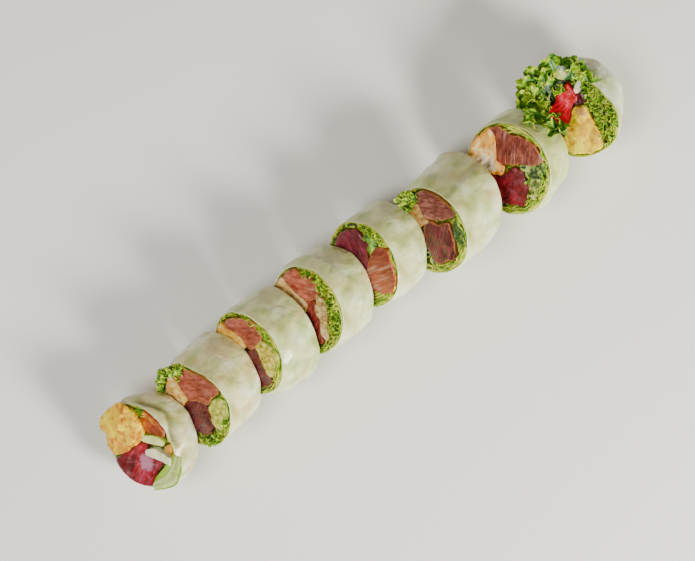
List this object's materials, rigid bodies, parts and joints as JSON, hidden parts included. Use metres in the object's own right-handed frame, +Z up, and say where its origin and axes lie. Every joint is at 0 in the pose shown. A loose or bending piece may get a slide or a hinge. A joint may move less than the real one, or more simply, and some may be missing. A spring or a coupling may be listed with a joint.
{
  "type": "sliced sushi roll",
  "caption": "Thick sushi roll in a pale rice sheet, cut into slices that lean in a row, with fish, prawn, omelette, avocado, cucumber and curly lettuce showing at the cuts.",
  "frame": {"origin": "on the surface the roll lies on, under the middle of the row of slices", "axes": "+X along the row from the first end slice to the last, +Y across the row, +Z up"},
  "size_m": [0.3188, 0.0598, 0.0532],
  "materials": {
    "carrot": null,
    "cucumber": null,
    "lettuce": null,
    "omelette": null,
    "radish": null,
    "salmon": null,
    "tuna": null,
    "rice_sheet": null,
    "avocado": null,
    "prawn": null,
    "beet_leaf": null
  },
  "bodies": {
    "root": {"slice1_carrot": "carrot", "slice1_cucumber": "cucumber", "slice1_lettuce": "lettuce", "slice1_omelette": "omelette", "slice1_outer_leaf": "lettuce", "slice1_radish": "radish", "slice1_salmon": "salmon", "slice1_tuna": "tuna", "slice1_wrapper": "rice_sheet", "slice2_avocado": "avocado", "slice2_lettuce": "lettuce", "slice2_outer_leaf": "lettuce", "slice2_prawn": "prawn", "slice2_salmon": "salmon", "slice2_tuna": "tuna", "slice2_wrapper": "rice_sheet", "slice3_avocado": "avocado", "slice3_lettuce": "lettuce", "slice3_prawn": "prawn", "slice3_salmon": "salmon", "slice3_tuna": "tuna", "slice3_wrapper": "rice_sheet", "slice4_avocado": "avocado", "slice4_lettuce": "lettuce", "slice4_prawn": "prawn", "slice4_salmon": "salmon", "slice4_tuna": "tuna", "slice4_wrapper": "rice_sheet", "slice5_leaf": "lettuce", "slice5_lettuce": "lettuce", "slice5_salmon": "salmon", "slice5_tuna": "tuna", "slice5_wrapper": "rice_sheet", "slice6_cucumber": "cucumber", "slice6_lettuce": "lettuce", "slice6_outer_leaf": "lettuce", "slice6_prawn": "prawn", "slice6_salmon": "salmon", "slice6_tuna": "tuna", "slice6_wrapper": "rice_sheet", "slice7_avocado": "avocado", "slice7_cucumber": "cucumber", "slice7_lettuce": "lettuce", "slice7_prawn": "prawn", "slice7_salmon": "salmon", "slice7_tuna": "tuna", "slice7_wrapper": "rice_sheet", "slice8_beet_leaf": "beet_leaf", "slice8_cucumber": "cucumber", "slice8_lettuce": "lettuce", "slice8_omelette": "omelette", "slice8_outer_leaf": "lettuce", "slice8_radish": "radish", "slice8_tuna": "tuna", "slice8_wrapper": "rice_sheet"}
  },
  "joints": []
}
